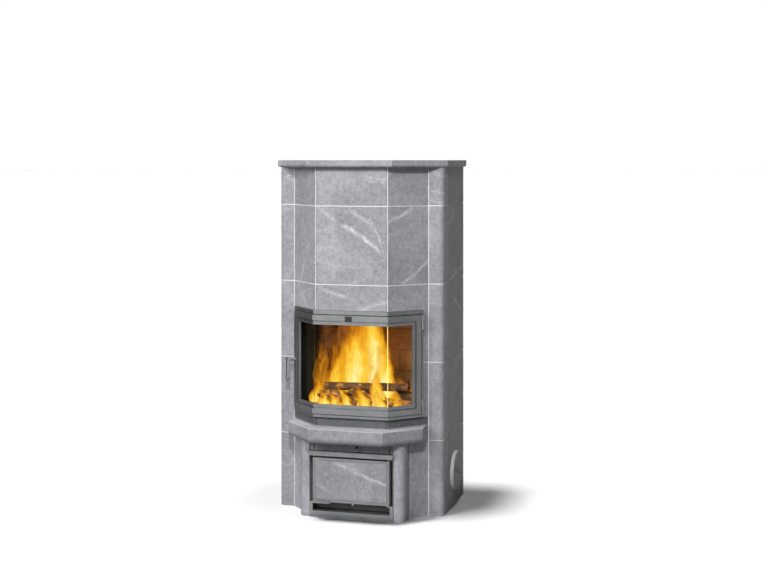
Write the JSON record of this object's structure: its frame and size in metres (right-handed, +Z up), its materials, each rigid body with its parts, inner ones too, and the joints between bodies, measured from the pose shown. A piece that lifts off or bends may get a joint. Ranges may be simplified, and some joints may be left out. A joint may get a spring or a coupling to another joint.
{
  "type": "soapstone stove",
  "caption": "Heat-retaining stove of jointed soapstone slabs with a bay front, a glazed fire door of angled panes, a hearth shelf, an ash hatch and drawer.",
  "frame": {"origin": "on the floor under the middle of the stove's bounding box", "axes": "+Z up, -Y out of the front, +X to the right of someone facing the stove"},
  "size_m": [0.9526, 0.753, 1.8],
  "materials": {
    "soapstone": "honed soapstone",
    "mortar": "pale mortar",
    "stove_metal": "satin grey stove paint",
    "black_metal": "matt black",
    "cover_metal": "satin grey",
    "steel": "brushed",
    "cast_iron": "as cast",
    "glass": "clear heat-resistant glass",
    "firebrick": "fired brick",
    "gasket": "braided seal",
    "insulation": "rigid board"
  },
  "bodies": {
    "stove": {"air_slide_track": "stove_metal", "back_slab_base": "soapstone", "back_slabs": "soapstone", "base_columns": "soapstone", "base_facets": "soapstone", "base_floor": "soapstone", "base_lintel": "soapstone", "bay_facets_lintel": "soapstone", "bay_facets_top": "soapstone", "bay_facets_upper": "soapstone", "bay_front_lintel": "soapstone", "bay_front_top": "soapstone", "bay_front_upper": "soapstone", "core_base_walls": "firebrick", "core_end_walls": "firebrick", "core_lid": "firebrick", "core_side_walls": "firebrick", "corner_stones_base": "soapstone", "corner_stones_lower": "soapstone", "corner_stones_middle": "soapstone", "corner_stones_top": "soapstone", "corner_stones_upper": "soapstone", "door_jambs": "soapstone", "door_surround": "stove_metal", "drawer_runners": "black_metal", "firebox_back": "firebrick", "firebox_floor": "firebrick", "firebox_left": "firebrick", "firebox_right": "firebrick", "firebox_roof": "firebrick", "flue_collar": "cast_iron", "grate": "cast_iron", "hatch_frame": "stove_metal", "hatch_pins": "steel", "hearth_shelf": "soapstone", "hinge_pins": "steel", "insulation_board": "insulation", "mortar_beds": "mortar", "mortar_uprights": "mortar", "side_slabs": "soapstone", "side_slabs_base": "soapstone", "sill_stones": "soapstone", "top_slab": "soapstone"},
    "fire_door": {"door_frame": "stove_metal", "glass_left": "glass", "glass_center": "glass", "glass_right": "glass", "door_gasket": "gasket", "glass_clips": "steel", "door_badge": "black_metal"},
    "door_latch": {"door_handle": "steel", "latch_spindle": "steel"},
    "ash_hatch": {"hatch_door": "stove_metal", "hatch_stone": "soapstone"},
    "ash_drawer": {"ash_drawer": "black_metal", "drawer_knob": "steel"},
    "air_slide": {"air_slide_plate": "stove_metal"},
    "soot_cover_right": {"soot_cover_right": "cover_metal"},
    "soot_cover_left": {"soot_cover_left": "cover_metal"}
  },
  "joints": [
    {"name": "fire_door_swing", "type": "hinge", "parent": "stove", "child": "fire_door", "pos_m": [0.34153, -0.153, 0.773], "axis": [0, 0, 1], "range_deg": [0, 115]},
    {"name": "door_handle_turn", "type": "hinge", "parent": "fire_door", "child": "door_latch", "pos_m": [-0.33729, -0.15583, 0.774], "axis": [-0.7071, -0.7071, 0], "range_deg": [0, 90]},
    {"name": "ash_hatch_swing", "type": "hinge", "parent": "stove", "child": "ash_hatch", "pos_m": [0.194, -0.2725, 0.19], "axis": [0, 0, 1], "range_deg": [0, 95]},
    {"name": "ash_drawer_slide", "type": "slide", "parent": "stove", "child": "ash_drawer", "axis": [0, -1, 0], "range_m": [0, 0.3]},
    {"name": "air_slide_shift", "type": "slide", "parent": "stove", "child": "air_slide", "axis": [1, 0, 0], "range_m": [0, 0.02]},
    {"name": "soot_cover_right_pull", "type": "slide", "parent": "stove", "child": "soot_cover_right", "axis": [1, 0, 0], "range_m": [0, 0.08]},
    {"name": "soot_cover_left_pull", "type": "slide", "parent": "stove", "child": "soot_cover_left", "axis": [-1, 0, 0], "range_m": [0, 0.08]}
  ]
}
